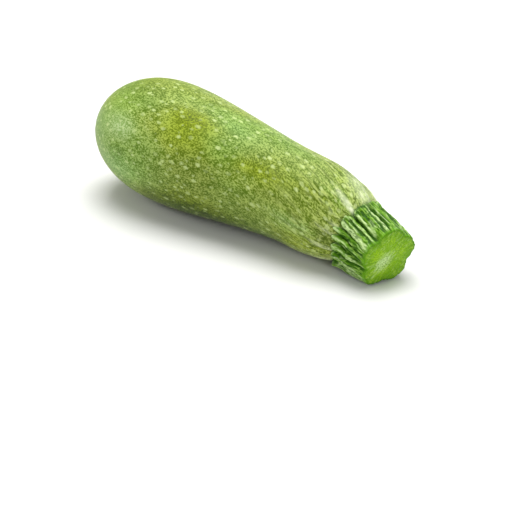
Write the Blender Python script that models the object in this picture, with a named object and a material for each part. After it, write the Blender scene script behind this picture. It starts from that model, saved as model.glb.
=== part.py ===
"""A short, pale courgette lying on its side: one whole fruit and the cut stub of its stem.

The middle line starts at the blossom end, runs straight along +X, bends down at the neck
and then turns aside in the stem. Both solids are turned about +X first, then carried onto
the middle line, tipped down towards the stem and set on the floor at z = 0.
"""
import math

import bmesh
import bpy
from mathutils import Matrix, Vector

# Fruit, in metres. Distances run along the middle line from the blossom end.
BELLY_RADIUS = 0.0277
BELLY_AT = 0.0413
NOSE_POWER = 2.1
NOSE_DROOP = 0.0010
NOSE_DROOP_TURN = math.radians(-45.0)
WAIST_RADIUS = 0.0202
WAIST_AT = 0.1199
SHOULDER_REACH = 0.0355
NECK_FACE_AT = 0.1450
BELLY_LOBE = 0.004
NECK_LOBE = 0.020
LOBES = 5

# Middle line: the neck's bend, then the stem's own.
NECK_BEND_AT = 0.108
NECK_BEND_RADIUS = 0.200
NECK_BEND_TURN = math.radians(-20.0)
STEM_BEND_RADIUS = 0.082
STEM_BEND_TURN = math.radians(-104.0)

# Stem, in metres.
STEM_GAP = 0.0003
STEM_LENGTH = 0.0205
FOOT_RADIUS = 0.0152
STEM_WAIST_RADIUS = 0.0138
CUT_RADIUS = 0.0132
FOOT_REACH = 0.40
STEM_CHAMFER = 0.0008
GROOVE_DEPTH = 0.17
GROOVE_SHARPNESS = 0.7
RIB_TURN = math.radians(18.0)

# Pose on the floor.
PITCH = math.radians(4.2)
FLAT_DEPTH = 0.0005

# Fineness of the solids.
FRUIT_SEGMENTS = 48
NOSE_RINGS = 14
BODY_RINGS = 22
STEM_SEGMENTS = 60
STEM_RINGS = 10


def fruit_radius(distance):
    """Radius of the fruit: a superellipse nose, an S-shaped taper, then a round shoulder."""
    if distance < BELLY_AT:
        reach = (BELLY_AT - distance) / BELLY_AT
        return BELLY_RADIUS * (1 - reach ** NOSE_POWER) ** (1 / NOSE_POWER)
    if distance < WAIST_AT:
        way = (distance - BELLY_AT) / (WAIST_AT - BELLY_AT)
        return BELLY_RADIUS - (BELLY_RADIUS - WAIST_RADIUS) * way * way * (3 - 2 * way)
    reach = (distance - WAIST_AT) / SHOULDER_REACH
    return WAIST_RADIUS * math.sqrt(1 - reach * reach)


def stem_radius(way):
    """Radius over the ribs, from the flared foot (way 0) to the cut (way 1)."""
    if way < FOOT_REACH:
        flare = (1 - way / FOOT_REACH) ** 2
        return STEM_WAIST_RADIUS + (FOOT_RADIUS - STEM_WAIST_RADIUS) * flare
    spread = ((way - FOOT_REACH) / (1 - FOOT_REACH)) ** 2
    return STEM_WAIST_RADIUS + (CUT_RADIUS - STEM_WAIST_RADIUS) * spread


def fruit_profile():
    """Half outline of the fruit, from the blossom end's pole to the middle of the neck face."""
    nose = [BELLY_AT * (1 - math.cos(math.pi / 2 * i / NOSE_RINGS)) for i in range(NOSE_RINGS)]
    step = (NECK_FACE_AT - BELLY_AT) / BODY_RINGS
    body = [BELLY_AT + step * i for i in range(BODY_RINGS + 1)]
    outline = [(distance, fruit_radius(distance)) for distance in nose + body]
    return outline + [(NECK_FACE_AT, 0.0)]


def stem_profile():
    """Half outline of the stem stub, closed by a flat foot and a flat cut."""
    foot = NECK_FACE_AT + STEM_GAP
    ways = [i / STEM_RINGS for i in range(STEM_RINGS + 1)]
    outline = [(foot + STEM_LENGTH * way, stem_radius(way)) for way in ways]
    cut_at, cut_radius = outline.pop()
    outline.append((cut_at - STEM_CHAMFER, cut_radius))
    outline.append((cut_at, cut_radius - STEM_CHAMFER))
    return [(foot, 0.0)] + outline + [(cut_at, 0.0)]


def fruit_swell(distance, angle):
    """Low rounded lobes that grow stronger towards the neck."""
    height = BELLY_LOBE + (NECK_LOBE - BELLY_LOBE) * (distance / NECK_FACE_AT) ** 3
    return 1 + height * math.cos(LOBES * (angle - RIB_TURN))


def stem_swell(distance, angle):
    """Broad ribs with narrow grooves between them, in line with the fruit's lobes."""
    rib = abs(math.cos(LOBES * (angle - RIB_TURN) / 2)) ** GROOVE_SHARPNESS
    return 1 - GROOVE_DEPTH * (1 - rib)


def bend(length, radius, turn):
    """Transform along an arc that bends down, with its plane turned about +X."""
    angle = length / radius
    slide = Matrix.Translation((radius * math.sin(angle), 0, radius * (math.cos(angle) - 1)))
    plane = Matrix.Rotation(turn, 4, "X")
    return plane @ slide @ Matrix.Rotation(angle, 4, "Y") @ plane.inverted()


def middle_line(distance):
    """Transform that carries a flat cross-section to its place on the middle line."""
    straight = min(distance, NECK_BEND_AT)
    droop = NOSE_DROOP * max(1 - distance / BELLY_AT, 0) ** 2
    neck = min(max(distance - NECK_BEND_AT, 0), NECK_FACE_AT - NECK_BEND_AT)
    stem = max(distance - NECK_FACE_AT, 0)
    line = Matrix.Rotation(NOSE_DROOP_TURN, 4, "X") @ Matrix.Translation((straight, 0, -droop))
    line = line @ Matrix.Rotation(-NOSE_DROOP_TURN, 4, "X")
    line = line @ bend(neck, NECK_BEND_RADIUS, NECK_BEND_TURN)
    return line @ bend(stem, STEM_BEND_RADIUS, STEM_BEND_TURN)


def green(name, colour, roughness):
    """Principled material of one plain colour."""
    material = bpy.data.materials.new(name)
    material.use_nodes = True
    shader = material.node_tree.nodes["Principled BSDF"]
    shader.inputs["Base Color"].default_value = (*colour, 1)
    shader.inputs["Roughness"].default_value = roughness
    shader.inputs["Metallic"].default_value = 0
    material.diffuse_color = (*colour, 1)
    return material


def turned_piece(name, profile, segments, swell, material, collection):
    """Spin a half outline about +X, swell it, and carry it onto the middle line."""
    mesh = bmesh.new()
    points = [mesh.verts.new((distance, 0, radius)) for distance, radius in profile]
    lines = [mesh.edges.new(pair) for pair in zip(points, points[1:])]
    bmesh.ops.spin(
        mesh, geom=points + lines, axis=(1, 0, 0), cent=(0, 0, 0),
        angle=2 * math.pi, steps=segments, use_merge=True,
    )
    bmesh.ops.remove_doubles(mesh, verts=mesh.verts, dist=1e-6)
    bmesh.ops.recalc_face_normals(mesh, faces=mesh.faces)
    pose = Matrix.Rotation(PITCH, 4, "Y")
    for vert in mesh.verts:
        distance = vert.co.x
        size = swell(distance, math.atan2(vert.co.z, vert.co.y))
        section = Vector((0, vert.co.y * size, vert.co.z * size))
        vert.co = pose @ middle_line(distance) @ section
    data = bpy.data.meshes.new(name)
    mesh.to_mesh(data)
    mesh.free()
    data.shade_smooth()
    data.materials.append(material)
    piece = bpy.data.objects.new(name, data)
    collection.objects.link(piece)
    return piece


def rest_on_floor(pieces, fruit):
    """Sink the belly by the flat's depth and centre the whole over the origin."""
    corners = [vert.co for piece in pieces for vert in piece.data.vertices]
    low_x = min(point.x for point in corners)
    high_x = max(point.x for point in corners)
    low_y = min(point.y for point in corners)
    high_y = max(point.y for point in corners)
    belly = min(vert.co.z for vert in fruit.data.vertices)
    shift = Vector((-(low_x + high_x) / 2, -(low_y + high_y) / 2, -belly - FLAT_DEPTH))
    for piece in pieces:
        piece.data.transform(Matrix.Translation(shift))


def press_flat(piece, collection):
    """Cut the resting place flat at z = 0 with a block that stands for the floor."""
    bpy.ops.mesh.primitive_cube_add(size=1)
    floor = bpy.context.object
    floor.name = "floor_cutter"
    floor.data.transform(Matrix.Diagonal((0.3, 0.2, 0.02, 1)))
    floor.data.transform(Matrix.Translation((0, 0, -0.01)))
    for owner in list(floor.users_collection):
        owner.objects.unlink(floor)
    collection.objects.link(floor)
    floor.hide_render = True
    floor.display_type = "WIRE"
    cut = piece.modifiers.new("flat", "BOOLEAN")
    cut.operation = "DIFFERENCE"
    cut.object = floor


for old in list(bpy.data.objects):
    bpy.data.objects.remove(old, do_unlink=True)

courgette = bpy.data.collections.new("courgette")
cutters = bpy.data.collections.new("cutters")
bpy.context.scene.collection.children.link(courgette)
bpy.context.scene.collection.children.link(cutters)

skin = green("courgette_skin", (0.27, 0.38, 0.06), 0.35)
fruit = turned_piece("fruit", fruit_profile(), FRUIT_SEGMENTS, fruit_swell, skin, courgette)
rind = green("stem_rind", (0.13, 0.26, 0.05), 0.5)
stem = turned_piece("stem", stem_profile(), STEM_SEGMENTS, stem_swell, rind, courgette)
rest_on_floor([fruit, stem], fruit)
press_flat(fruit, cutters)
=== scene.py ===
import functools
import itertools
import math

import bmesh
import bpy
from mathutils import Matrix, Vector, noise


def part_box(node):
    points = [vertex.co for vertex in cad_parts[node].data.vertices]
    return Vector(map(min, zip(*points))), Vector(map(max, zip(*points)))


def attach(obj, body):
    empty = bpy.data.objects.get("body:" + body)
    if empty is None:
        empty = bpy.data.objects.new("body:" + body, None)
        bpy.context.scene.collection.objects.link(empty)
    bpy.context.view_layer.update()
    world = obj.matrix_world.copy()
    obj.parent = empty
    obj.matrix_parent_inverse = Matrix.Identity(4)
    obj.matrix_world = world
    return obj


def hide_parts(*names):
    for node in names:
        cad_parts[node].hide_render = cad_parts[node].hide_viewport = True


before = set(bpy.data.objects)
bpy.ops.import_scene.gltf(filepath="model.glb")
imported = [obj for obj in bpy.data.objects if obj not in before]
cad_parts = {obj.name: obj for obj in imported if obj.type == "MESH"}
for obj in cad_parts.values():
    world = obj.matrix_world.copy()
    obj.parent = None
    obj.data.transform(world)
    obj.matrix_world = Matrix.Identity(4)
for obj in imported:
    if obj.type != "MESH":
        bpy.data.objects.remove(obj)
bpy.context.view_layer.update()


# ------------------------------------------------------------------------------------------
# The fruit: a short, pale summer squash, picked young. It is one body of firm flesh in a
# thin waxy rind, swollen at the blossom end and drawn in to a neck, and it grew in one piece.
# Its shoulder is round, with low pale ridges that run into the grooves of the stem's foot.
# ------------------------------------------------------------------------------------------
MM = 0.001

BELLY_RADIUS = 27.7 * MM
BELLY_AT = 41.3 * MM
NOSE_POWER = 2.1
NOSE_DROOP = 1.0 * MM
NOSE_DROOP_TURN = math.radians(-45)
WAIST_RADIUS = 20.2 * MM
WAIST_AT = 119.9 * MM
SHOULDER_REACH = 35.5 * MM
NECK_FACE_AT = 145.0 * MM
FRUIT_END_AT = 150.5 * MM
LOBES = 5
LOBE_TURN = math.radians(18)
BELLY_LOBE = 0.004
NECK_LOBE = 0.020
NECK_BEND_AT = 108 * MM
NECK_BEND_RADIUS = 200 * MM
NECK_BEND_TURN = math.radians(-20)
STEM_BEND_RADIUS = 82 * MM
STEM_BEND_TURN = math.radians(-104)
PITCH = math.radians(4.2)
FLAT_DEPTH = 0.5 * MM

# Chance swellings all over the fruit, and furrows that deepen on the neck: heights in mm, and
# a larger SPREAD makes them finer round it. Where the fruit is thinner than ROUGH_RADII, at
# the very tip of the nose, they fade out.
SWELL = 0.22
SWELL_LENGTH = 26 * MM
SWELL_SPREAD = 1.3
FURROW = 0.08
NECK_FURROW = 0.32
FURROW_LENGTH = 30 * MM
FURROW_SPREAD = 9
FURROWED = (100 * MM, 142 * MM)
ROUGH_RADII = (2 * MM, 14 * MM)

# Pale ridges on the shoulder: angle round the neck and half width in degrees, height in mm,
# where they start along the fruit in mm, and how pale they are. Over the last TWIST_REACH mm
# they and the lines in the rind turn by NECK_TWIST degrees a mm, to these angles at the stem.
RIDGES_FROM = 122 * MM
RIDGE_RISE = 9
NECK_TWIST = 0.75
TWIST_REACH = 50
NECK_RIDGES = (
    (117, 8, 0.4, 133, 1.0), (83, 24, 0.5, 130, 0.55), (142, 4, 0.4, 130, 0.1),
    (155, 6, 0.5, 138, 0.6), (169, 4, 0.4, 134, 0.3), (199, 6, 0.5, 132, 0.4),
    (232, 7, 0.6, 130, 0.5), (260, 7, 0.7, 131, 0.7), (288, 6, 0.6, 130, 0.6),
    (318, 8, 0.8, 129, 0.8), (346, 7, 0.6, 131, 0.6), (14, 8, 0.8, 128, 0.8),
    (40, 9, 0.7, 127, 0.7),
)

# Patches of the rind's colour: where along the fruit and round it, half length and half width
# in mm and degrees, and how much yellower, cooler and darker the rind is there, paler below
# zero. The yellower and cooler shares are the rind's own colour, and so is part of the darker
# and paler; the rest is painted light: painted shade along the underside, under the stem's toes
# and along the top, and painted highlights and painted reflected light on the blossom end and
# along the lower side. Chance adds more, about TONE_LENGTH long.
TONE_LENGTH = 24 * MM
TONE_SPREAD = 1.6
CHANCE_TONE = 0.65
TONES_AND_PAINTED_LIGHT = (
    (62, 119, 9, 8, 1.00, 0.00, 0.32), (76, 143, 27, 15, 0.40, 0.00, 0.00),
    (84, 164, 46, 38, 0.00, 0.00, 0.26), (106, 138, 20, 12, 0.35, 0.00, 0.00),
    (132, 131, 9, 9, 1.00, 0.00, 0.38), (62, 214, 26, 14, 0.80, 0.00, 0.35),
    (78, 250, 44, 46, 0.20, 0.00, 1.20), (22, 160, 17, 34, 0.00, 0.80, -0.22),
    (31, 154, 8, 10, 0.00, 0.15, -0.95), (34, 194, 14, 16, 0.00, 0.50, -0.35),
    (88, 178, 50, 11, 0.00, 0.12, -0.10), (127, 178, 14, 13, 0.00, 0.12, -0.30),
    (95, 88, 50, 16, 0.00, 0.35, 0.20), (85, 112, 66, 24, 0.15, 0.00, 0.14),
    (142, 84, 10, 34, 0.00, 0.00, -0.30), (132, 214, 14, 20, 0.10, 0.00, -0.20),
    (32, 178, 6, 9, 0.00, 0.30, 0.40), (33, 217, 8, 9, 0.00, 0.00, -0.40),
    (25, 106, 14, 22, 0.00, 0.30, 0.36), (40, 123, 8, 10, 0.00, 0.40, 0.20),
    (57, 157, 8, 8, 0.00, 0.00, -0.25), (98, 157, 8, 7, 0.00, 0.00, -0.35),
    (120, 141, 14, 8, 0.00, 0.00, 0.15), (100, 132, 22, 8, 0.00, 0.00, 0.12),
    (97, 152, 9, 9, -0.60, 0.00, 0.00), (66, 96, 14, 12, 0.00, 0.45, 0.00),
    (80, 106, 10, 8, 0.00, 0.35, 0.00), (98, 166, 14, 9, 0.00, 0.35, 0.00),
    (141, 180, 4, 17, 0.00, 0.00, 0.70), (113, 88, 12, 12, 0.00, 0.40, 0.10),
    (70, 20, 40, 30, 0.00, 0.50, 0.20), (60, 300, 40, 40, 0.50, 0.00, -0.20),
    (110, 330, 30, 30, 0.10, 0.40, 0.00), (45, 350, 20, 30, 0.60, 0.00, 0.10),
    (109, 132, 4, 6, 0.00, 0.00, 0.30), (141, 170, 4, 8, 0.00, 0.00, 0.30),
)


def fruit_radius(distance):
    """A superellipse nose, an S-shaped taper to the waist, then a round shoulder."""
    if distance < BELLY_AT:
        reach = (BELLY_AT - distance) / BELLY_AT
        return BELLY_RADIUS * (1 - reach ** NOSE_POWER) ** (1 / NOSE_POWER)
    if distance < WAIST_AT:
        way = (distance - BELLY_AT) / (WAIST_AT - BELLY_AT)
        return BELLY_RADIUS - (BELLY_RADIUS - WAIST_RADIUS) * way * way * (3 - 2 * way)
    reach = (distance - WAIST_AT) / SHOULDER_REACH
    return WAIST_RADIUS * math.sqrt(1 - reach * reach)


def bend(length, radius, turn):
    """Transform along an arc that bends down, with its plane turned about +X."""
    angle = length / radius
    slide = Matrix.Translation((radius * math.sin(angle), 0, radius * (math.cos(angle) - 1)))
    plane = Matrix.Rotation(turn, 4, "X")
    return plane @ slide @ Matrix.Rotation(angle, 4, "Y") @ plane.inverted()


@functools.lru_cache(maxsize=None)
def middle_line(distance):
    """Carries a flat cross-section to its place on the line through fruit and stem."""
    straight = min(distance, NECK_BEND_AT)
    droop = NOSE_DROOP * max(1 - distance / BELLY_AT, 0) ** 2
    neck = min(max(distance - NECK_BEND_AT, 0), NECK_FACE_AT - NECK_BEND_AT)
    stem = max(distance - NECK_FACE_AT, 0)
    line = Matrix.Rotation(NOSE_DROOP_TURN, 4, "X") @ Matrix.Translation((straight, 0, -droop))
    line = line @ Matrix.Rotation(-NOSE_DROOP_TURN, 4, "X")
    line = line @ bend(neck, NECK_BEND_RADIUS, NECK_BEND_TURN)
    return Matrix.Rotation(PITCH, 4, "Y") @ line @ bend(stem, STEM_BEND_RADIUS, STEM_BEND_TURN)


def apart(angle, centre):
    """The smaller way round between two angles in degrees."""
    return abs((angle - centre + 180) % 360 - 180)


def hump(angle, centre, half_width):
    """1 on a ridge's crest, falling smoothly to 0 at half_width on either side; in degrees."""
    away = apart(angle, centre) / half_width
    return (1 + math.cos(math.pi * away)) / 2 if away < 1 else 0.0


def ease(value, low, high):
    """0 below low, 1 above high and a smooth step between."""
    way = min(max((value - low) / (high - low), 0), 1)
    return way * way * (3 - 2 * way)


def by_chance(along, angle, spread):
    """Smooth noise round the skin, from about -1 to 1, that spread makes finer round it."""
    return noise.noise(Vector((along, math.cos(angle) * spread, math.sin(angle) * spread)))


def neck_turn(distance):
    """How far the rind's lines have turned before they reach the stem, in degrees."""
    return NECK_TWIST * min((NECK_FACE_AT - distance) / MM, TWIST_REACH)


def neck_ridge(distance, angle):
    """Height in mm and paleness of the ridges on the shoulder, at an angle in degrees."""
    height = pale = 0.0
    if distance < RIDGES_FROM:
        return height, pale
    angle += neck_turn(distance)
    for at, width, high, start, light in NECK_RIDGES:
        there = hump(angle, at, width) * ease(distance, start * MM, (start + RIDGE_RISE) * MM)
        height = max(height, high * there)
        pale = max(pale, light * there)
    return height, pale


def fruit_section(distance, angle):
    """Radius of the finished fruit, and how pale the neck's ridges make it."""
    lobe = BELLY_LOBE + (NECK_LOBE - BELLY_LOBE) * (distance / NECK_FACE_AT) ** 3
    radius = fruit_radius(distance) * (1 + lobe * math.cos(LOBES * (angle - LOBE_TURN)))
    ridge, pale = neck_ridge(distance, math.degrees(angle))
    swell = SWELL * by_chance(distance / SWELL_LENGTH, angle, SWELL_SPREAD)
    furrow = by_chance(distance / FURROW_LENGTH, angle, FURROW_SPREAD)
    furrow *= FURROW + NECK_FURROW * ease(distance, *FURROWED)
    rough = ease(fruit_radius(distance), *ROUGH_RADII)
    return radius + (ridge + swell + furrow) * rough * MM, pale


def rind_tone(distance, angle):
    """How much yellower, cooler and darker the rind is at a place, from patches and chance; the
    darker share is partly painted shade, and below zero partly painted highlight.
    """
    y, z = math.cos(angle) * TONE_SPREAD, math.sin(angle) * TONE_SPREAD
    spot = Vector((distance / TONE_LENGTH, y, z))
    elsewhere = spot + Vector((7, 3, 5))
    tone = Vector((noise.noise(spot), noise.noise(elsewhere), 0.0)) * CHANCE_TONE
    for along, around, length, width, *shares in TONES_AND_PAINTED_LIGHT:
        off = ((distance / MM - along) / length) ** 2
        off += (apart(math.degrees(angle), around) / width) ** 2
        tone += Vector(shares) * math.exp(-off)
    return tone


# A spun outline counts rings, or shares of a length, along +X. Points nearer the axis than
# ON_AXIS make a pole, and two poles stand further apart than POLE_GAP.
ON_AXIS = 1e-6
POLE_GAP = 0.5


def spun(profile, segments):
    """A closed skin: a half outline turned about +X, with closed poles and outward faces."""
    mesh = bmesh.new()
    points = [mesh.verts.new((x, 0, radius)) for x, radius in profile]
    lines = [mesh.edges.new(pair) for pair in zip(points, points[1:])]
    bmesh.ops.spin(
        mesh, geom=points + lines, axis=(1, 0, 0), cent=(0, 0, 0),
        angle=2 * math.pi, steps=segments, use_merge=True,
    )
    poles = [vert for vert in mesh.verts if math.hypot(vert.co.y, vert.co.z) < ON_AXIS]
    bmesh.ops.remove_doubles(mesh, verts=poles, dist=POLE_GAP)
    bmesh.ops.recalc_face_normals(mesh, faces=mesh.faces)
    return mesh


def finished(mesh, name, material):
    """Turns a bmesh into a smooth-shaded object of one material, at the origin."""
    data = bpy.data.meshes.new(name)
    mesh.to_mesh(data)
    mesh.free()
    data.shade_smooth()
    data.materials.append(material)
    piece = bpy.data.objects.new(name, data)
    bpy.context.scene.collection.objects.link(piece)
    return piece


def linear(code):
    """The linear colour of an sRGB hex code."""
    parts = [int(code[i:i + 2], 16) / 255 for i in (1, 3, 5)]
    return [p / 12.92 if p <= 0.04045 else ((p + 0.055) / 1.055) ** 2.4 for p in parts] + [1.0]


def feed(tree, node, feeds):
    """Gives each named input of a node another node's output or a plain value."""
    for name, source in feeds.items():
        if isinstance(source, bpy.types.NodeSocket):
            tree.links.new(source, node.inputs[name])
        else:
            node.inputs[name].default_value = source


def add(tree, kind, output, settings, feeds):
    """Adds one node with its settings and feeds, and returns one of its outputs."""
    node = tree.nodes.new("ShaderNode" + kind)
    for name, value in settings.items():
        setattr(node, name, value)
    feed(tree, node, feeds)
    return node.outputs[output]


def new_material(name):
    """A material with its Principled shader, as (material, tree, shader)."""
    material = bpy.data.materials.new(name)
    material.use_nodes = True
    tree = material.node_tree
    return material, tree, tree.nodes["Principled BSDF"]


# Settings of the nodes that make soft patches of a pattern, multiply two patterns, multiply
# and add a third, take a part of a share, and mix colours. A Map Range's inputs are 1 and 2
# for the pattern's range, 3 and 4 for its result; a colour Mix's are 6 and 7.
SOFT = {"interpolation_type": "SMOOTHSTEP"}
TIMES = {"operation": "MULTIPLY"}
TIMES_PLUS = {"operation": "MULTIPLY_ADD"}
PART = {"operation": "MULTIPLY", "use_clamp": True}
COLOUR = {"data_type": "RGBA"}


def coloured(tree, ground, layers):
    """Lays colours over a ground from the bottom up: a share, how much of it, the colour."""
    for share, most, code in layers:
        share = add(tree, "Math", 0, PART, {0: share, 1: most})
        ground = add(tree, "Mix", 2, COLOUR, {0: share, 6: ground, 7: linear(code)})
    return ground


# Waxy rind: green cells under a clear, slightly uneven cuticle. Green turns yellower, cooler
# or darker from place to place, or paler; part of the darker and paler is painted shade and
# painted highlight. A net of light cells about 1 mm wide covers it, with larger pale flecks;
# streaks and dark lines run along the neck, and painted shade darkens the rind in the valleys
# between the stem's toes. Patterns lie in mm on "grown", which is length along the skin, then
# across and up, turned with the neck. "neck" holds how pale the ridges are, how near the stem
# a place is, and how near the blossom scar.
def waxy_rind():
    material, tree, shader = new_material("waxy_rind")
    grown = add(tree, "Attribute", "Vector", {"attribute_name": "grown"}, {})
    tone = add(tree, "Attribute", "Vector", {"attribute_name": "tone"}, {})
    neck = add(tree, "Attribute", "Vector", {"attribute_name": "neck"}, {})
    yellow, cool, shade = add(tree, "SeparateXYZ", 0, {}, {0: tone}).node.outputs
    pale, near_stem, near_blossom = add(tree, "SeparateXYZ", 0, {}, {0: neck}).node.outputs

    # The net: light cells about 1 mm apart, half as long again along the fruit, denser and
    # thinner every few millimetres, and fainter on the 55 mm nearest the blossom end.
    fine = add(tree, "Mapping", 0, {}, {"Vector": grown, "Scale": (0.65, 1, 1)})
    cells = add(tree, "TexNoise", 0, {}, {"Vector": fine, "Scale": 1 / 0.6, "Detail": 2.5})
    uneven = add(tree, "TexNoise", 0, {}, {"Vector": fine, "Scale": 1 / 3.5, "Detail": 3.0})
    cells = add(tree, "Math", 0, TIMES_PLUS, {0: uneven, 1: 0.35, 2: cells})
    length = add(tree, "SeparateXYZ", 0, {}, {0: grown})
    low = add(tree, "MapRange", 0, SOFT, {0: length, 1: 18.0, 2: 55.0, 3: 0.27, 4: 0.0})
    high = add(tree, "MapRange", 0, SOFT, {0: length, 1: 18.0, 2: 55.0, 3: 0.73, 4: 1.0})
    net = add(tree, "MapRange", 0, SOFT, {0: cells, 1: 0.56, 2: 0.81, 3: low, 4: high})

    # Flecks: one in each 2.8 mm, two thirds longer than wide, of chance size, shape and
    # paleness.
    shift = add(tree, "TexNoise", "Color", {}, {"Vector": grown, "Scale": 1 / 1.6, "Detail": 1.0})
    drawn = add(tree, "Mapping", 0, {}, {"Vector": grown, "Scale": (0.6, 1, 1)})
    spots = add(tree, "VectorMath", 0, TIMES_PLUS, {0: shift, 1: (0.9, 0.9, 0.9), 2: drawn})
    away = add(
        tree, "TexVoronoi", "Distance", {},
        {"Vector": spots, "Scale": 1 / 2.8, "Randomness": 0.8},
    )
    chance = add(tree, "SeparateColor", 0, {}, {0: away.node.outputs["Color"]}).node.outputs
    width = add(tree, "MapRange", 0, {}, {0: chance[0], 3: 0.28, 4: 0.42})
    away = add(tree, "Math", 0, {"operation": "DIVIDE"}, {0: away, 1: width})
    light = add(tree, "MapRange", 0, {}, {0: chance[1], 3: 0.18, 4: 0.68})
    flecks = add(tree, "MapRange", 0, SOFT, {0: away, 1: 0.40, 2: 1.0, 3: light, 4: 0.0})

    # Pale streaks 1.2 mm and dark lines 0.85 mm apart, many times as long, near the stem only.
    # The ridges are feathered with the same streaks.
    drawn = add(tree, "Mapping", 0, {}, {"Vector": grown, "Scale": (0.08, 1, 1)})
    streaks = add(tree, "TexNoise", 0, {}, {"Vector": drawn, "Scale": 1 / 1.2, "Detail": 3.0})
    drawn = add(tree, "Mapping", 0, {}, {"Vector": grown, "Scale": (0.05, 1, 1)})
    lines = add(tree, "TexNoise", 0, {}, {"Vector": drawn, "Scale": 1 / 0.85, "Detail": 3.0})
    neck_only = add(tree, "MapRange", 0, SOFT, {0: near_stem, 1: 0.10, 2: 0.80, 4: 0.85})
    streaks = add(tree, "MapRange", 0, SOFT, {0: streaks, 1: 0.45, 2: 0.66})
    feather = add(tree, "Math", 0, TIMES_PLUS, {0: streaks, 1: 0.6, 2: 0.55})
    feather = add(tree, "Math", 0, TIMES, {0: feather, 1: pale})
    streaks = add(tree, "Math", 0, TIMES, {0: streaks, 1: neck_only})
    lines = add(tree, "MapRange", 0, SOFT, {0: lines, 1: 0.51, 2: 0.60})
    lines = add(tree, "Math", 0, TIMES, {0: lines, 1: neck_only})

    # The rind's tone, in the net's gaps and on its light cells: share, gap colour, cell colour.
    gap, cell = linear("#5c7512"), linear("#a4b559")
    # The darker share is partly painted shade; turned round, it makes the rind paler, partly as
    # painted highlight.
    paler = add(tree, "Math", 0, TIMES, {0: shade, 1: -1.0})
    for share, in_gap, on_cell in (
        (yellow, "#6a7c02", "#a2b41c"), (cool, "#578424", "#97c06a"),
        (shade, "#2c4002", "#5c701e"), (paler, "#84a452", "#b8cd90"),
    ):
        share = add(tree, "Clamp", 0, {}, {0: share})
        gap = add(tree, "Mix", 2, COLOUR, {0: share, 6: gap, 7: linear(in_gap)})
        cell = add(tree, "Mix", 2, COLOUR, {0: share, 6: cell, 7: linear(on_cell)})
    ground = add(tree, "Mix", 2, COLOUR, {0: net, 6: gap, 7: cell})

    # Painted shade: the rind turns dark green where it runs into the valleys between the stem's
    # toes.
    collar_shade = add(tree, "MapRange", 0, SOFT, {0: near_stem, 1: 0.90, 2: 0.94})
    ground = coloured(tree, ground, (
        (streaks, 0.8, "#b6c56e"), (lines, 1.0, "#4c620a"), (near_blossom, 0.7, "#98a87c"),
        (flecks, 1.0, "#c9da92"), (feather, 1.0, "#dfe8c0"), (collar_shade, 0.8, "#3f6b12"),
    ))

    relief = add(tree, "Math", 0, TIMES_PLUS, {0: net, 1: 0.4, 2: uneven})
    bump = add(tree, "Bump", 0, {}, {"Strength": 0.3, "Distance": 0.2 * MM, "Height": relief})
    gloss = add(tree, "MapRange", 0, {}, {0: uneven, 1: 0.2, 2: 0.8, 3: 0.40, 4: 0.52})
    feed(tree, shader, {
        "Base Color": ground, "Normal": bump, "Roughness": gloss, "IOR": 1.45,
        "Specular IOR Level": 0.12, "Sheen Weight": 0.08, "Sheen Roughness": 0.4,
    })
    return material


def even_steps(count):
    """The shares from 0 to 1 in even steps, with both ends."""
    return [step / count for step in range(count + 1)]


SEGMENTS = 256
NOSE_RINGS = 60
BODY_RINGS = 190
CROWDING = 0.5

# Where the neck's streaks begin, and how far round the blossom scar the rind is paler.
STREAKS_FROM = 96 * MM
SCAR_HALO = (7 * MM, 15 * MM)

# Rings stand closer together towards the stem, where the rind is finely ridged.
nose = [BELLY_AT * (1 - math.cos(math.pi / 2 * i / NOSE_RINGS)) for i in range(NOSE_RINGS)]
body = [way * (1 + CROWDING - CROWDING * way) for way in even_steps(BODY_RINGS)]
stations = nose + [BELLY_AT + (FRUIT_END_AT - BELLY_AT) * way for way in body]
sizes = [fruit_radius(distance) for distance in stations]
fruit_mesh = spun([*enumerate(sizes), (len(sizes) - 1, 0.0)], SEGMENTS)

# Length along the skin, from the blossom end, at each ring.
gaps = [math.dist(*pair) for pair in itertools.pairwise(zip(stations, sizes))]
skin_length = list(itertools.accumulate(gaps, initial=0.0))

grown = fruit_mesh.verts.layers.float_vector.new("grown")
tone = fruit_mesh.verts.layers.float_vector.new("tone")
neck = fruit_mesh.verts.layers.float_vector.new("neck")
for vert in fruit_mesh.verts:
    ring = round(vert.co.x)
    distance = stations[ring]
    spoke = math.hypot(vert.co.y, vert.co.z)
    angle = math.atan2(vert.co.z, vert.co.y)
    run = skin_length[ring]
    turned = angle + math.radians(neck_turn(distance))
    around = Vector((0, math.cos(turned), math.sin(turned))) * spoke
    vert[grown] = (Vector((run, 0, 0)) + around) / MM
    vert[tone] = rind_tone(distance, angle)
    size, light = fruit_section(distance, angle) if spoke > ON_AXIS else (0.0, 0.0)
    near_stem = max((distance - STREAKS_FROM) / (FRUIT_END_AT - STREAKS_FROM), 0)
    vert[neck] = Vector((light, near_stem, 1 - ease(run, *SCAR_HALO)))
    section = Vector((0, size * math.cos(angle), size * math.sin(angle)))
    vert.co = middle_line(distance) @ section

# Set down where the worked-out fruit lies, with the belly pressed flat on the table.
low = Vector([min(vert.co[i] for vert in fruit_mesh.verts) for i in range(3)])
high = Vector([max(vert.co[i] for vert in fruit_mesh.verts) for i in range(3)])
box_low, box_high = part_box("fruit")
seat = Vector((
    box_low.x - low.x,
    (box_low.y + box_high.y - low.y - high.y) / 2,
    -FLAT_DEPTH - low.z,
))
for vert in fruit_mesh.verts:
    vert.co += seat
    vert.co.z = max(vert.co.z, 0)

fruit = finished(fruit_mesh, "fruit_skin", waxy_rind())
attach(fruit, "root")
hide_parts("fruit")


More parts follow.
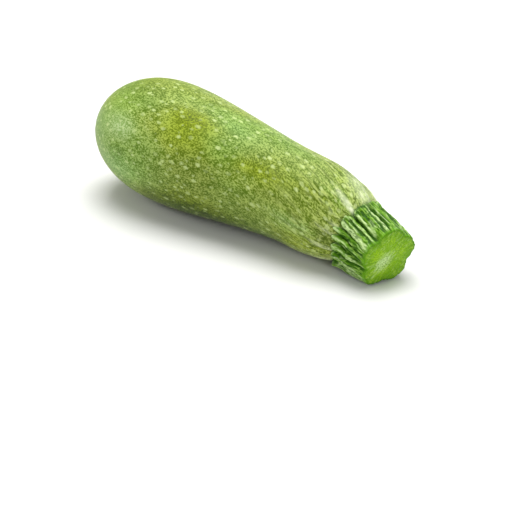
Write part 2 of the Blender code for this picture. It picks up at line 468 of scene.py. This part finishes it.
# ------------------------------------------------------------------------------------------
# The stem: a stub of hard, ribbed stalk, still on the fruit. Its foot spreads in round toes
# that grip the shoulder, and the ribs run up from them to the knife's cut. Thin corky streaks
# lie on the ribs, and the grooves between them are dark and narrow.
# ------------------------------------------------------------------------------------------
FOOT_GAP = 0.3 * MM
STEM_FOOT_AT = NECK_FACE_AT + FOOT_GAP
STEM_LENGTH = 20.5 * MM
CUT_AT = STEM_FOOT_AT + STEM_LENGTH
TOE_EDGE_AT = 148.2 * MM
STEM_RINGS = 130
STEM_SEGMENTS = 400
STEM_CROWDING = 1.2

# Radii over the ribs in mm, and the share of the length where the waist is. The ribs twist
# from foot to cut and wander by chance, in degrees.
FOOT_RADIUS = 15.2
STEM_WAIST_RADIUS = 13.8
CUT_RADIUS = 13.2
FOOT_REACH = 0.40
TWIST = 9.0
WANDER = 1.6

# In mm: the grooves, at the foot and at the cut; strands, threads and knots on the ribs, how
# proud the cork is and how deep the hollows; the toes' round edge, the width of the painted
# shade in the crease under it and of the painted highlight along the edge above; the round edge
# of the cut, and the stub's end under the cut face.
GROOVE_DEPTH = 2.2
CUT_GROOVE_DEPTH = 2.6
STRAND = 0.8
THREAD = 0.4
KNOT = 0.35
CORK_PROUD = 0.2
HOLLOW_DEEP = 0.6
TOE_ROUND = 1.6
TOE_DROP = 2.6
CREASE_SHADE_WIDTH = 0.8
TOE_EDGE_HIGHLIGHT = 1.2
CUT_ROUND = 0.35
CUT_RECESS = 1.2

# How much of the grooves and toes, and of the finer relief, has gone at the cut.
RIB_FADE = 0.7
RELIEF_FADE = 0.6

# Toes: angle round the foot and half width in degrees, rise and climb onto the fruit in mm.
TOES = (
    (105, 18, 0.3, 2.8), (137.5, 13.5, 0.5, 3.6), (157, 6, 0.3, 4.9), (170.5, 7.5, 0.3, 4.2),
    (186, 8, 0.4, 3.2), (205, 11.5, 1.1, 2.6), (230, 13.5, 2.0, 3.2), (257, 13.5, 1.2, 3.0),
    (284, 13, 0.4, 3.0), (310, 13, 0.3, 3.3), (336, 13, 0.2, 3.1), (2, 13, 0.3, 3.4),
    (28, 11, 0.2, 3.1), (50, 11, 0.1, 3.2), (74, 13, 0.0, 2.9),
)

# Broad marks on the ribs: angle at the foot and half width in degrees, start and end in mm,
# and how pale and corky they are, or below zero how hollow and dark, the dark partly painted
# shade in the hollows.
MARKS = (
    (144, 7.5, 145, 170, 1.0), (129, 2.2, 146, 158, 0.8), (117, 3.8, 148, 164, 1.0),
    (123, 2.0, 158, 168, 0.9), (92, 6.0, 147, 166, 0.9), (81, 1.8, 148, 163, 0.7),
    (157, 4.0, 142, 149, 0.9), (170, 4.0, 142, 150, 0.9), (184, 3.8, 144, 156, 0.8),
    (206, 3.2, 145, 163, 0.8), (219, 2.6, 148, 166, 0.8), (226, 3.5, 144, 166, 0.8),
    (38, 2.5, 148, 164, 0.7), (5, 3.5, 146, 158, 0.8), (312, 4.0, 147, 162, 0.9),
    (262, 3.0, 146, 156, 0.9), (133.5, 5.0, 147, 161, -1.0), (108, 6.0, 148, 161, -1.0),
    (68, 3.0, 149, 160, -0.6), (105, 16.0, 142, 149.5, -0.8), (74, 12.0, 142, 148, -0.6),
    (196, 3.0, 147, 161, -0.5), (212, 2.6, 148, 160, -0.5), (238, 4.0, 147, 162, -0.6),
    (300, 3.0, 148, 160, -1.0), (20, 3.0, 148, 160, -1.0),
)


def toe(angle):
    """How far across the nearest toe an angle is (0 to 1, in degrees), its rise and climb."""
    away, rise, climb = min((apart(angle, at) / width, *rest) for at, width, *rest in TOES)
    return min(away, 1), rise, climb


def stem_core(way):
    """Radius in mm over the ribs, from the foot (way 0) to the cut (way 1)."""
    if way < FOOT_REACH:
        flare = (1 - way / FOOT_REACH) ** 2
        return STEM_WAIST_RADIUS + (FOOT_RADIUS - STEM_WAIST_RADIUS) * flare
    spread = ((way - FOOT_REACH) / (1 - FOOT_REACH)) ** 2
    return STEM_WAIST_RADIUS + (CUT_RADIUS - STEM_WAIST_RADIUS) * spread


def stem_section(distance, angle):
    """Radius in mm of the stem, its crest share and its corky streaks, at a place on it."""
    way = (distance - STEM_FOOT_AT) / STEM_LENGTH
    along = distance / MM
    foot_angle = math.degrees(angle) - TWIST * way
    sway = WANDER * by_chance(along / 3.5, math.radians(foot_angle), 5)
    foot_angle += sway * ease(way, 0.0, 0.2)
    across, rise, _ = toe(foot_angle)
    crest = math.sqrt(1 - across ** 3)
    lobe = abs(math.cos(LOBES * (angle - LOBE_TURN) / 2)) ** 0.7
    to_cut = ease(way, 0.3, 1.0)

    # Strands 24 mm long, threads 5 mm, knots under 2 mm, and cork that breaks every 6 mm. The
    # numbers added keep the patterns apart.
    turn = math.radians(foot_angle)
    strand = by_chance(along / 24, turn, 11)
    thread = by_chance(along / 5 + 5, turn, 16)
    knot = by_chance(along / 1.8, turn, 10)
    broken = ease(by_chance(along / 6 + 9, turn, 7), -0.15, 0.2)
    cork = 0.9 * max(ease(strand, 0.22, 0.42), 0.7 * ease(thread, 0.2, 0.4)) * broken

    # The broad marks over them, with ragged edges.
    hollow = 0.0
    for at, width, start, end, light in MARKS:
        if apart(foot_angle, at) < width:
            ragged = 0.3 * noise.noise(Vector((along / 2.5, at, 0)))
            there = ease(along, start, start + 1.5) * (1 - ease(along, end - 3, end))
            there *= light * ease(hump(foot_angle, at, width) + ragged, 0.25, 0.7)
            cork = max(cork, there)
            hollow = max(hollow, -there)
    cork *= ease(crest, 0.3, 0.7)

    radius = stem_core(way) + rise * crest * (1 - RIB_FADE * ease(way, 0.45, 1.0))
    radius -= GROOVE_DEPTH * (1 - RIB_FADE * to_cut) * (1 - crest)
    radius -= CUT_GROOVE_DEPTH * to_cut * (1 - lobe)
    radius += (STRAND * strand + THREAD * thread + KNOT * knot) * (1 - RELIEF_FADE * to_cut)
    radius += CORK_PROUD * cork - HOLLOW_DEEP * hollow
    # The crest share lightens the bark; the hollows lower it, partly as painted shade.
    share = crest * (0.65 + 1.5 * strand + 0.5 * thread + 0.4 * knot) * (1 - hollow)
    return radius, min(max(share, 0), 1), cork * (1 - 0.6 * hollow)


# Length in mm of the bark that the knife left a fresher green.
FRESH_LENGTH = 2.3


# Stem rind: tough green bark over woody strands, matt and ridged. It is darker towards the
# grooves and hollows and lighter on the crests, partly the bark's own colour and partly painted
# shade; corky streaks are nearly white-green, and the bark at the cut fresh green. "rib" holds
# the crest share, the cork with a painted highlight along the toes' edges, and the painted shade
# in the crease at a toe's edge; "grown" is in mm, along the stem, then round it.
def stem_rind():
    material, tree, shader = new_material("stem_rind")
    rib = add(tree, "Attribute", "Vector", {"attribute_name": "rib"}, {})
    grown = add(tree, "Attribute", "Vector", {"attribute_name": "grown"}, {})
    crest, cork, crease_shade = add(tree, "SeparateXYZ", 0, {}, {0: rib}).node.outputs
    along = add(tree, "SeparateXYZ", 0, {}, {0: grown})

    # Dark strands of bark 1.1 mm apart and pale ones 0.6 mm apart, wavy and about five times
    # as long. The pale ones fade in the grooves, and the cork is torn into bits.
    drawn = add(tree, "Mapping", 0, {}, {"Vector": grown, "Scale": (0.2, 1, 1)})
    wavy = {"Vector": drawn, "Detail": 3.0, "Distortion": 0.8}
    wide = add(tree, "TexNoise", 0, {}, {**wavy, "Scale": 1 / 1.1})
    thin = add(tree, "TexNoise", 0, {}, {**wavy, "Scale": 1 / 0.6})
    drawn = add(tree, "Mapping", 0, {}, {"Vector": grown, "Scale": (0.35, 1, 1)})
    torn = add(tree, "TexNoise", 0, {}, {"Vector": drawn, "Scale": 1 / 0.7, "Detail": 3.0})
    torn = add(tree, "MapRange", 0, SOFT, {0: torn, 1: 0.38, 2: 0.58, 3: 0.3, 4: 1.0})
    cork = add(tree, "Math", 0, TIMES, {0: cork, 1: torn})
    dark = add(tree, "MapRange", 0, SOFT, {0: wide, 1: 0.50, 2: 0.66})
    pale = add(tree, "MapRange", 0, SOFT, {0: thin, 1: 0.50, 2: 0.64})
    # Lighter towards the crests and darker in the grooves: partly the bark's own colour and
    # partly painted shade.
    side = add(tree, "MapRange", 0, SOFT, {0: crest, 1: 0.20, 2: 0.85})
    lifted = add(tree, "MapRange", 0, SOFT, {0: crest, 1: 0.0, 2: 0.5, 3: 0.15, 4: 1.0})
    pale = add(tree, "Math", 0, TIMES, {0: pale, 1: lifted})
    cut_at = CUT_AT / MM
    fresh = add(tree, "MapRange", 0, SOFT, {0: along, 1: cut_at - FRESH_LENGTH, 2: cut_at})

    ground = coloured(tree, linear("#2b5504"), (
        (side, 1.0, "#5a8a10"), (dark, 0.85, "#2a5604"), (pale, 0.75, "#93bb50"),
        (cork, 0.95, "#c3dd96"), (crease_shade, 0.9, "#274c04"), (fresh, 0.7, "#619a08"),
    ))

    bump = add(tree, "Bump", 0, {}, {"Strength": 0.4, "Distance": 0.3 * MM, "Height": thin})
    feed(tree, shader, {
        "Base Color": ground, "Normal": bump, "Roughness": 0.55, "IOR": 1.45,
        "Specular IOR Level": 0.12,
    })
    return material


# Radius in mm at which the bark's pattern is laid round the stem.
BARK_RADIUS = 14

# Rings stand closer together towards the foot, where the toes are rounded.
stem_profile = [(way ** STEM_CROWDING, 1.0) for way in even_steps(STEM_RINGS)]
stem_mesh = spun([(-0.1, 0.0)] + stem_profile + [(1.1, 0.0)], STEM_SEGMENTS)
rib = stem_mesh.verts.layers.float_vector.new("rib")
grown = stem_mesh.verts.layers.float_vector.new("grown")
for vert in stem_mesh.verts:
    way = vert.co.x
    angle = math.atan2(vert.co.z, vert.co.y)
    if way < 0 or way > 1:
        pole_at = TOE_EDGE_AT if way < 0 else CUT_AT - CUT_RECESS * MM
        vert.co = middle_line(pole_at) @ Vector() + seat
        continue
    across, _, climb = toe(math.degrees(angle))
    edge_at = TOE_EDGE_AT - climb * math.sqrt(1 - across ** 2) * MM
    distance = edge_at + (CUT_AT - edge_at) * way
    size, crest, cork_and_edge_highlight = stem_section(distance, angle)
    from_edge = (distance - edge_at) / MM
    size -= TOE_DROP * (1 - math.sqrt(1 - (1 - min(from_edge / TOE_ROUND, 1)) ** 2))
    before_cut = min((CUT_AT - distance) / MM / CUT_ROUND, 1)
    size -= CUT_ROUND * (1 - math.sqrt(1 - (1 - before_cut) ** 2))
    # Painted shade in the crease along a toe's edge, and a painted highlight along the rounded
    # edge above it, laid in with the cork.
    shadow = 1 - ease(from_edge, 0.3 * CREASE_SHADE_WIDTH, CREASE_SHADE_WIDTH)
    cork_and_edge_highlight = max(cork_and_edge_highlight, 0.9 * crest * (1 - ease(from_edge, CREASE_SHADE_WIDTH, CREASE_SHADE_WIDTH + TOE_EDGE_HIGHLIGHT)))
    vert[rib] = Vector((crest, cork_and_edge_highlight * (1 - shadow), shadow))
    y, z = math.cos(angle), math.sin(angle)
    vert[grown] = Vector((distance / MM, BARK_RADIUS * y, BARK_RADIUS * z))
    section = Vector((0, size * y, size * z)) * MM
    vert.co = middle_line(round(distance, 5)) @ section + seat
    vert.co.z = max(vert.co.z, 0)

stem = finished(stem_mesh, "stem_stub", stem_rind())
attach(stem, "root")
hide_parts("stem")


# ------------------------------------------------------------------------------------------
# The cut face: where the knife went through the stalk. It is wet, fibrous plant tissue, pale
# and stringy at the pith and bright green under the rind, and it dries a little hollow.
# ------------------------------------------------------------------------------------------
FACE_RINGS = 44

# In mm: how far the face keeps inside the rind's edge, how proud it stands of the cut, how
# deep its disc goes, and the rough grain of its fibres. Then the share of its radius where the
# rim darkens and rolls over.
FACE_INSET = 0.30
FACE_LIFT = 0.12
FACE_DEPTH = 0.8
FACE_GRAIN = 0.10
RIM_FROM = 0.93

# The pith: which way its long side points, then its place off the middle, half length, half
# width and hollow in mm.
PITH_TURN = math.radians(228)
PITH_OFFSET = 2.8
PITH_LENGTH = 7.4
PITH_WIDTH = 4.2
PITH_SINK = 0.30


# Cut stalk: moist tissue that shines softly. "cut" holds the share of the radius, how much of
# the pale pith is there and the rays; "grown" holds the place in mm along and across the pith.
def cut_stalk():
    material, tree, shader = new_material("cut_stalk")
    cut = add(tree, "Attribute", "Vector", {"attribute_name": "cut"}, {})
    grown = add(tree, "Attribute", "Vector", {"attribute_name": "grown"}, {})
    spoke, pith, ray = add(tree, "SeparateXYZ", 0, {}, {0: cut}).node.outputs

    # Blotches 5 mm wide, fibres 0.8 mm apart and drawn out along the pith, grain 0.6 mm wide.
    blotch = add(tree, "TexNoise", 0, {}, {"Vector": grown, "Scale": 1 / 5.0, "Detail": 2.0})
    drawn = add(tree, "Mapping", 0, {}, {"Vector": grown, "Scale": (1, 0.25, 1)})
    fibre = add(tree, "TexNoise", 0, {}, {"Vector": drawn, "Scale": 1 / 0.8, "Detail": 3.0})
    grain = add(tree, "TexNoise", 0, {}, {"Vector": grown, "Scale": 1 / 0.6, "Detail": 3.0})
    grain = add(tree, "MapRange", 0, SOFT, {0: grain, 1: 0.46, 2: 0.64})
    blotch = add(tree, "MapRange", 0, SOFT, {0: blotch, 1: 0.40, 2: 0.62})
    fibre = add(tree, "MapRange", 0, SOFT, {0: fibre, 1: 0.48, 2: 0.68})
    under = add(tree, "MapRange", 0, SOFT, {0: spoke, 1: 0.50, 2: 0.90})
    rim = add(tree, "MapRange", 0, SOFT, {0: spoke, 1: RIM_FROM, 2: 0.99})
    ray = add(tree, "MapRange", 0, SOFT, {0: ray, 1: 0.50, 2: 0.90})

    ground = coloured(tree, linear("#7cac00"), (
        (blotch, 1.0, "#8fbc08"), (under, 0.9, "#669900"), (ray, 0.35, "#abcf40"),
        (pith, 0.95, "#c2dc96"), (fibre, 0.22, "#cfe3a0"), (grain, 0.75, "#558606"),
        (rim, 0.7, "#467e02"),
    ))

    bump = add(tree, "Bump", 0, {}, {"Strength": 0.4, "Distance": 0.3 * MM, "Height": grain})
    feed(tree, shader, {
        "Base Color": ground, "Normal": bump, "Roughness": 0.42, "IOR": 1.4,
        "Specular IOR Level": 0.15,
    })
    return material


face_profile = [(1.0, share) for share in even_steps(FACE_RINGS)]
face_mesh = spun(face_profile + [(0.0, 1.0), (0.0, 0.0)], STEM_SEGMENTS)
cut = face_mesh.verts.layers.float_vector.new("cut")
grown = face_mesh.verts.layers.float_vector.new("grown")
for vert in face_mesh.verts:
    on_top = vert.co.x > 0.5
    share = math.hypot(vert.co.y, vert.co.z)
    angle = math.atan2(vert.co.z, vert.co.y)
    size = (stem_section(CUT_AT, angle)[0] - FACE_INSET) * share
    y, z = size * math.cos(angle), size * math.sin(angle)
    long_way = y * math.cos(PITH_TURN) + z * math.sin(PITH_TURN)
    cross_way = z * math.cos(PITH_TURN) - y * math.sin(PITH_TURN)
    ray = noise.noise(Vector((math.cos(angle) * 9, math.sin(angle) * 9, share * 1.5)))
    ray *= ease(share, 0.15, 0.6)
    fray = 0.5 * noise.noise(Vector((long_way / 3, cross_way / 0.9, 2)))
    reach = math.hypot((long_way - PITH_OFFSET) / PITH_LENGTH, cross_way / PITH_WIDTH) + fray
    pith = 1 - ease(reach, 0.1, 1.1)
    roll = 1 - ease(share, RIM_FROM, 1.0)
    height = FACE_LIFT * roll - PITH_SINK * pith + FACE_GRAIN * (ray + fray)
    if not on_top:
        height = -FACE_DEPTH
    vert[cut] = Vector((share, pith, 0.5 + ray))
    vert[grown] = Vector((0, long_way, cross_way))
    vert.co = middle_line(CUT_AT) @ Vector((height * MM, y * MM, z * MM)) + seat

face = finished(face_mesh, "cut_face", cut_stalk())
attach(face, "root")


# ------------------------------------------------------------------------------------------
# The blossom scar: the dry, corky disc where the flower dropped off the far end. It stands a
# little proud of the rind, with a rough middle and cracks that run out to its edge.
# ------------------------------------------------------------------------------------------
SCAR_RINGS = 30
SCAR_SEGMENTS = 160

# In mm: its radius, how far it stands out, its roughness, its cracks, and how deep it is set.
SCAR_RADIUS = 7.6
SCAR_RISE = 0.8
SCAR_ROUGH = 0.14
SCAR_CRACK = 0.28
SCAR_SET_IN = 0.1
SCAR_DEPTH = 1.2


# Dry cork: dead, matt tissue, tan with darker cracks. "cork" holds the share of the radius
# and how deep the crack is.
def dry_cork():
    material, tree, shader = new_material("dry_cork")
    cork = add(tree, "Attribute", "Vector", {"attribute_name": "cork"}, {})
    spoke, crack, _ = add(tree, "SeparateXYZ", 0, {}, {0: cork}).node.outputs
    place = add(tree, "TexCoord", "Object", {}, {})

    # Grain 0.9 mm wide, rough down to its finest.
    grain = add(
        tree, "TexNoise", 0, {},
        {"Vector": place, "Scale": 1 / (0.9 * MM), "Detail": 4.0, "Roughness": 0.65},
    )
    blotch = add(tree, "MapRange", 0, SOFT, {0: grain, 1: 0.3, 2: 0.7})
    edge = add(tree, "MapRange", 0, SOFT, {0: spoke, 1: 0.7, 2: 1.0})
    crack = add(tree, "MapRange", 0, SOFT, {0: crack, 1: 0.3, 2: 0.9})
    ground = coloured(tree, linear("#b98352"), (
        (blotch, 1.0, "#dfae7c"), (edge, 0.6, "#c9b877"), (crack, 0.75, "#84562e"),
    ))
    bump = add(tree, "Bump", 0, {}, {"Strength": 0.6, "Distance": 0.3 * MM, "Height": grain})
    feed(tree, shader, {"Base Color": ground, "Normal": bump, "Roughness": 0.8})
    return material


def nose_at(radius):
    """Distance along the middle line where the nose has this radius."""
    return BELLY_AT * (1 - (1 - (radius / BELLY_RADIUS) ** NOSE_POWER) ** (1 / NOSE_POWER))


scar_profile = [(0.0, share) for share in even_steps(SCAR_RINGS)]
scar_mesh = spun(scar_profile + [(1.0, 1.0), (1.0, 0.0)], SCAR_SEGMENTS)
cork = scar_mesh.verts.layers.float_vector.new("cork")
for vert in scar_mesh.verts:
    share = math.hypot(vert.co.y, vert.co.z)
    outside = vert.co.x < 0.5
    angle = math.atan2(vert.co.z, vert.co.y)
    y, z = math.cos(angle), math.sin(angle)
    edge = 1 + 0.09 * noise.noise(Vector((y * 1.6, z * 1.6, 4)))
    edge += 0.04 * noise.noise(Vector((y * 6, z * 6, 2)))
    size = SCAR_RADIUS * share * edge * MM
    crack = ease(noise.noise(Vector((y * 7, z * 7, share * 1.2))), 0.1, 0.35)
    crack *= ease(share, 0.2, 0.5)
    rough = noise.noise(Vector((size * y, size * z, 0)) / (1.1 * MM))
    crown = math.sqrt(max(1 - share ** 6, 0)) * (0.55 + 0.45 * ease(share, 0.25, 0.6))
    inner = 1 - share ** 4
    rise = SCAR_RISE * crown + SCAR_ROUGH * rough * inner - SCAR_CRACK * crack * inner
    distance = nose_at(size) + (SCAR_SET_IN - rise if outside else SCAR_DEPTH) * MM
    vert[cork] = Vector((share, crack, 0))
    vert.co = middle_line(distance) @ Vector((0, size * y, size * z)) + seat

scar = finished(scar_mesh, "blossom_scar", dry_cork())
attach(scar, "root")


# ------------------------------------------------------------------------------------------
# The set: a white table that runs out of sight, lit by a wide softbox overhead, weak ones
# behind and on each side, and a white room. The camera stands to the stem's side.
# ------------------------------------------------------------------------------------------
TABLE_SIZE = 6.0

# White laminate: pressed smooth and matt, so it shows nothing but soft shadows.
laminate, tree, shader = new_material("white_laminate")
feed(tree, shader, {"Base Color": linear("#e0e0de"), "Roughness": 0.7})

table_mesh = bmesh.new()
bmesh.ops.create_grid(table_mesh, x_segments=1, y_segments=1, size=TABLE_SIZE / 2)
table = finished(table_mesh, "table", laminate)


def softbox(name, place, aim, size, power):
    """A square light of a size in metres and a power in watts, turned to face its aim."""
    light = bpy.data.lights.new(name, "AREA")
    light.size = size
    light.energy = power
    lamp = bpy.data.objects.new(name, light)
    lamp.location = place
    lamp.rotation_euler = (Vector(aim) - Vector(place)).to_track_quat("-Z", "Y").to_euler()
    bpy.context.scene.collection.objects.link(lamp)


softbox("overhead", (-0.10, 0.18, 0.90), (0, 0, 0.02), 0.8, 13.8)
softbox("behind", (-0.25, 0.95, 0.35), (0, 0, 0.03), 0.7, 2.0)
softbox("blossom_side", (-0.75, -0.45, 0.45), (-0.04, 0, 0.03), 0.35, 2.2)
softbox("stem_side", (0.80, -0.45, 0.30), (0.05, 0, 0.02), 0.4, 3.0)

room = bpy.data.worlds.new("white_room")
room.use_nodes = True
walls = room.node_tree.nodes["Background"]
feed(room.node_tree, walls, {"Color": linear("#ffffff"), "Strength": 0.2})
bpy.context.scene.world = room
bpy.context.scene.view_settings.view_transform = "Standard"

# The camera looks down on the fruit through a long lens of 100 mm, and aims a little to the
# right of the middle line and below it.
AZIMUTH = math.radians(40.57)
ELEVATION = math.radians(27.0)
CAMERA_REACH = 0.620
AIM_AT = 77.57 * MM
AIM_RIGHT = 8.75 * MM
AIM_DOWN = 37.6 * MM
LENS = 100

back = Vector((
    math.sin(AZIMUTH) * math.cos(ELEVATION),
    -math.cos(AZIMUTH) * math.cos(ELEVATION),
    math.sin(ELEVATION),
))
right = Vector((math.cos(AZIMUTH), math.sin(AZIMUTH), 0))
up = back.cross(right)
aim = middle_line(AIM_AT) @ Vector() + seat + right * AIM_RIGHT - up * AIM_DOWN
camera_data = bpy.data.cameras.new("camera")
camera_data.lens = LENS
camera = bpy.data.objects.new("camera", camera_data)
camera.location = aim + back * CAMERA_REACH
camera.rotation_euler = back.to_track_quat("Z", "Y").to_euler()
bpy.context.scene.collection.objects.link(camera)
bpy.context.scene.camera = camera
